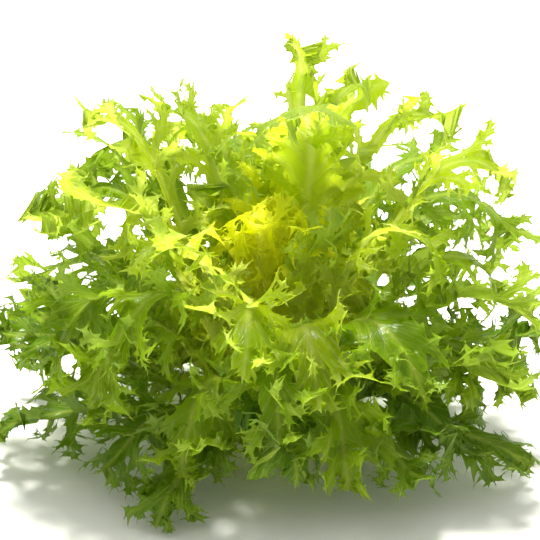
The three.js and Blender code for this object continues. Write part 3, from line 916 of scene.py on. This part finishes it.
def leaf_skin_group():
    """Colour, height and roughness of a leaf's skin."""
    group = bpy.data.node_groups.new("leaf skin", "ShaderNodeTree")
    face = group.interface
    for name in ("Foot colour", "Tip colour", "Rib colour"):
        face.new_socket(name, in_out="INPUT", socket_type="NodeSocketColor")
    face.new_socket("Foot ends", in_out="INPUT", socket_type="NodeSocketFloat")
    face.new_socket("Patchiness", in_out="INPUT", socket_type="NodeSocketFloat")
    face.new_socket("Bloom below", in_out="INPUT", socket_type="NodeSocketFloat")
    face.new_socket("Colour", in_out="OUTPUT", socket_type="NodeSocketColor")
    face.new_socket("Height", in_out="OUTPUT", socket_type="NodeSocketFloat")
    face.new_socket("Roughness", in_out="OUTPUT", socket_type="NodeSocketFloat")
    enter = group.nodes.new("NodeGroupInput")
    leave = group.nodes.new("NodeGroupOutput")
    link = group.links.new

    def mark(name):
        return shader_node(group, "ShaderNodeAttribute", attribute_name=name).outputs["Fac"]

    def math_node(operation, a, b=None, c=None):
        node = group.nodes.new("ShaderNodeMath")
        node.operation = operation
        for socket, value in zip(node.inputs, (a, b, c)):
            if value is None:
                continue
            if isinstance(value, (int, float)):
                socket.default_value = value
            else:
                link(value, socket)
        return node.outputs[0]

    def mixed(factor, a, b, blend="MIX"):
        node = group.nodes.new("ShaderNodeMix")
        node.data_type = "RGBA"
        node.blend_type = blend
        for socket, value in zip((node.inputs[0], node.inputs[6], node.inputs[7]), (factor, a, b)):
            if isinstance(value, (int, float, tuple)):
                socket.default_value = value
            else:
                link(value, socket)
        return node.outputs[2]

    place = group.nodes.new("ShaderNodeTexCoord").outputs["Object"]

    def noise(scale, detail=2.0):
        node = shader_node(group, "ShaderNodeTexNoise", Scale=scale, Detail=detail)
        link(place, node.inputs["Vector"])
        return node.outputs["Fac"]

    s, w = mark("along"), mark("across")
    margin, under, vein = mark("margin"), mark("under"), mark("vein")
    share, tone = mark("share"), mark("tone")
    # The rib fades into the blade towards the leaf's tip
    rib = math_node("DIVIDE", w, mark("ribwidth"))
    rib = math_node("EXPONENT", math_node("MULTIPLY", math_node("MULTIPLY", rib, rib), -1.2))
    rib = math_node("MULTIPLY", rib, math_node("MULTIPLY_ADD", share, -0.75, 0.95))
    # Side veins run out along the lobes
    branch = math_node("DIVIDE", vein, SIDE_VEIN_WIDTH)
    branch = math_node("EXPONENT", math_node("MULTIPLY", math_node("MULTIPLY", branch, branch), -1.0))
    # Fine streaks leave the rib at a small angle and fan out. Painted paler into the colour, they are
    # partly real white veins and partly a painted highlight of the sheen along the leaf's folds
    fan = math_node("POWER", math_node("MAXIMUM", margin, 0.0001), 0.65)
    fan = math_node("SUBTRACT", s, math_node("MULTIPLY", fan, 0.06))
    grain = group.nodes.new("ShaderNodeCombineXYZ")
    link(fan, grain.inputs[0])
    link(math_node("MULTIPLY", w, 0.09), grain.inputs[1])
    link(math_node("MULTIPLY", tone, 9.0), grain.inputs[2])

    def streaks(scale, low, high):
        node = shader_node(group, "ShaderNodeTexNoise", Scale=scale, Detail=2.0)
        link(grain.outputs[0], node.inputs["Vector"])
        sharp = shader_node(group, "ShaderNodeMapRange", From_Min=low, From_Max=high)
        sharp.interpolation_type = "SMOOTHSTEP"
        link(node.outputs["Fac"], sharp.inputs["Value"])
        return sharp.outputs["Result"]

    fine = math_node("MULTIPLY", streaks(640.0, 0.5, 0.66), streaks(110.0, 0.35, 0.6))
    coarse = streaks(240.0, 0.52, 0.75)
    vein_and_sheen_streaks = math_node("ADD", math_node("MULTIPLY", fine, 0.55), math_node("MULTIPLY", coarse, 0.45))
    vein_and_sheen_streaks = math_node("MULTIPLY", vein_and_sheen_streaks, math_node("SUBTRACT", 1.0, math_node("MULTIPLY", margin, 0.5)))
    # Painted highlight: the streaks are painted paler, as real veins and as the sheen on the folds, more so
    # below
    vein_and_sheen_paleness = math_node("MULTIPLY", vein_and_sheen_streaks, math_node("MULTIPLY_ADD", under, 0.2, 0.66))
    foot = math_node("DIVIDE", share, enter.outputs["Foot ends"])
    foot = math_node("MINIMUM", foot, 1.0)
    blade = mixed(foot, enter.outputs["Foot colour"], enter.outputs["Tip colour"])
    # Dark patches and an older, duller green, both weak where light has hardly reached
    patches = math_node("MULTIPLY", noise(45.0, 3.0), enter.outputs["Patchiness"])
    blade = mixed(patches, blade, PATCH_COLOUR, "MULTIPLY")
    older = math_node("MULTIPLY", tone, enter.outputs["Patchiness"])
    blade = mixed(older, blade, OLDER_COLOUR, "MULTIPLY")
    bloom = math_node("MULTIPLY", under, enter.outputs["Bloom below"])
    blade = mixed(bloom, blade, BLOOM_COLOUR)
    # The pale streaks go into the colour here: real veins, and a painted highlight for the sheen along the
    # folds
    colour = mixed(vein_and_sheen_paleness, blade, enter.outputs["Rib colour"])
    colour = mixed(math_node("MULTIPLY", branch, 0.1), colour, enter.outputs["Rib colour"])
    colour = mixed(rib, colour, enter.outputs["Rib colour"])
    link(colour, leave.inputs["Colour"])
    raised = math_node("MULTIPLY_ADD", branch, 0.5, vein_and_sheen_streaks)
    side = math_node("MULTIPLY_ADD", under, 1.6, -0.8)
    height = math_node("MULTIPLY_ADD", raised, side, math_node("MULTIPLY", noise(260.0, 3.0), 0.5))
    link(height, leave.inputs["Height"])
    rough = math_node("MULTIPLY_ADD", noise(130.0, 2.0), 0.16, 0.17)
    link(math_node("MULTIPLY_ADD", under, 0.12, rough), leave.inputs["Roughness"])
    return group


leaf_skin = leaf_skin_group()


def leaf_material(name, foot, tip, rib, foot_ends, patchiness, bloom, light_share):
    material = bpy.data.materials.new(name)
    material.use_nodes = True
    tree = material.node_tree
    face = tree.nodes["Principled BSDF"]
    face.inputs["Specular IOR Level"].default_value = 0.36
    skin = tree.nodes.new("ShaderNodeGroup")
    skin.node_tree = leaf_skin
    for socket, value in (("Foot colour", foot), ("Tip colour", tip), ("Rib colour", rib)):
        skin.inputs[socket].default_value = (*value, 1)
    skin.inputs["Foot ends"].default_value = foot_ends
    skin.inputs["Patchiness"].default_value = patchiness
    skin.inputs["Bloom below"].default_value = bloom
    bump = shader_node(tree, "ShaderNodeBump", Strength=0.8, Distance=0.0007)
    # Light crosses two faces of a leaf, so each face takes the square root of the leaf's colour
    each_face = shader_node(tree, "ShaderNodeGamma", Gamma=0.5)
    through = tree.nodes.new("ShaderNodeBsdfTranslucent")
    both = shader_node(tree, "ShaderNodeMixShader", Fac=light_share)
    link = tree.links.new
    link(skin.outputs["Height"], bump.inputs["Height"])
    link(bump.outputs["Normal"], face.inputs["Normal"])
    link(bump.outputs["Normal"], through.inputs["Normal"])
    link(skin.outputs["Colour"], face.inputs["Base Color"])
    link(skin.outputs["Roughness"], face.inputs["Roughness"])
    link(skin.outputs["Colour"], each_face.inputs["Color"])
    link(each_face.outputs["Color"], through.inputs["Color"])
    link(face.outputs["BSDF"], both.inputs[1])
    link(through.outputs["BSDF"], both.inputs[2])
    link(both.outputs["Shader"], tree.nodes["Material Output"].inputs["Surface"])
    return material


def leaf_piece(name, body, tone, material, node, seed):
    """A leaf as a piece, marked with the values that its skin is coloured by."""
    vertices, faces, marks = body
    piece = new_object(name, vertices, faces)
    for mark, values in dict(marks, tone=np.full(len(vertices), tone)).items():
        layer = piece.data.attributes.new(mark, "FLOAT", "POINT")
        layer.data.foreach_set("value", np.asarray(values, dtype=np.float32))
    grow_thorns(piece, material, seed)
    finish_piece(piece, node, sharp_from=65)


# Leaves of the three tiers
# Low outer leaves are the darkest, with the deepest cuts. Middle leaves are lime green. Tall inner
# leaves start yellow at the foot and are green only where they stand out in the light.
TIER_MATERIALS = {
    "outer": leaf_material(
        "outer leaf",
        foot=(0.60, 0.68, 0.01),
        tip=(0.15, 0.29, 0.001),
        rib=(0.74, 0.84, 0.12),
        foot_ends=0.5,
        patchiness=0.8,
        bloom=0.14,
        light_share=0.54,
    ),
    "middle": leaf_material(
        "middle leaf",
        foot=(0.88, 0.89, 0.01),
        tip=(0.32, 0.48, 0.001),
        rib=(0.86, 0.91, 0.18),
        foot_ends=0.6,
        patchiness=0.6,
        bloom=0.18,
        light_share=0.70,
    ),
    "inner": leaf_material(
        "inner leaf",
        foot=(0.98, 0.97, 0.01),
        tip=(0.46, 0.61, 0.002),
        rib=(0.96, 0.97, 0.36),
        foot_ends=0.85,
        patchiness=0.2,
        bloom=0.42,
        light_share=0.86,
    ),
}

built = dict.fromkeys(TIER_MATERIALS, 0)


def build_leaf(i):
    leaf = leaf_habit(i)
    tier = next(name for name, up_to in TIERS if leaf["age"] <= up_to)
    built[tier] += 1
    number = f"{built[tier]:02d}"
    slot = f"{tier}_leaf"
    node = f"leaf_{tier}_{number}"
    body = grown_leaf(leaf, seed=1000 + i)
    leaf_piece(f"{slot}_{number}", body, chance(i, 20), TIER_MATERIALS[tier], node, seed=i)


for i in range(SPIRAL_LEAVES + len(FILLING_WAYS)):
    build_leaf(i)


# Heart
# The youngest leaves, yellow because no light has reached them, stand close round the tip of the stem
# and cup towards each other. Their feet have grown together on a small core.
HEART_FOOT_HEIGHT = 0.0626
HEART_CORE_RADIUS = 0.010
HEART_CORE_HEIGHT = 0.034
HEART_LEAVES = 7
HEART_LENGTH = [0.080, 0.090, 0.084, 0.060]
HEART_HALF_WIDTH = [0.026, 0.026, 0.022, 0.015]
HEART_LAUNCH = [56, 64, 72, 82]


def heart_habit(k):
    age = k / (HEART_LEAVES - 1)
    i = SPIRAL_LEAVES + k
    return dict(
        azimuth=math.radians(FIRST_AZIMUTH + i * SPIRAL_STEP),
        root_height=HEART_FOOT_HEIGHT + lerp(0.003, HEART_CORE_HEIGHT * 0.7, age),
        root_radius=HEART_CORE_RADIUS * lerp(0.5, 0.3, age),
        lobes=3,
        launch=math.radians(along(HEART_LAUNCH, age) + spread(i, 2, 4)),
        lift=math.radians(14),
        fold=math.radians(70),
        fold_at=0.8,
        length=along(HEART_LENGTH, age) * (1 + spread(i, 5, 0.1)),
        half_width=along(HEART_HALF_WIDTH, age),
        sway=math.radians(spread(i, 7, 12)),
        roll=math.radians(spread(i, 8, 12)),
        cup=math.radians(46),
        flare=math.radians(spread(i, 9, 20)),
        ruffle=math.radians(26),
        ruffle_start=[chance(i, 10) * 2 * math.pi, chance(i, 11) * 2 * math.pi],
        web=0.4,
        curl=0.9,
        leaflets=6,
    )


def build_heart():
    material = leaf_material(
        "heart leaf",
        foot=(0.98, 0.98, 0.02),
        tip=(0.98, 0.98, 0.01),
        rib=(0.98, 0.98, 0.3),
        foot_ends=0.9,
        patchiness=0.05,
        bloom=0.1,
        light_share=0.86,
    )
    body = joined([grown_leaf(heart_habit(k), seed=2000 + k) for k in range(HEART_LEAVES)])
    leaf_piece("heart_leaves", body, 0.2, material, "heart", seed=SPIRAL_LEAVES)


build_heart()
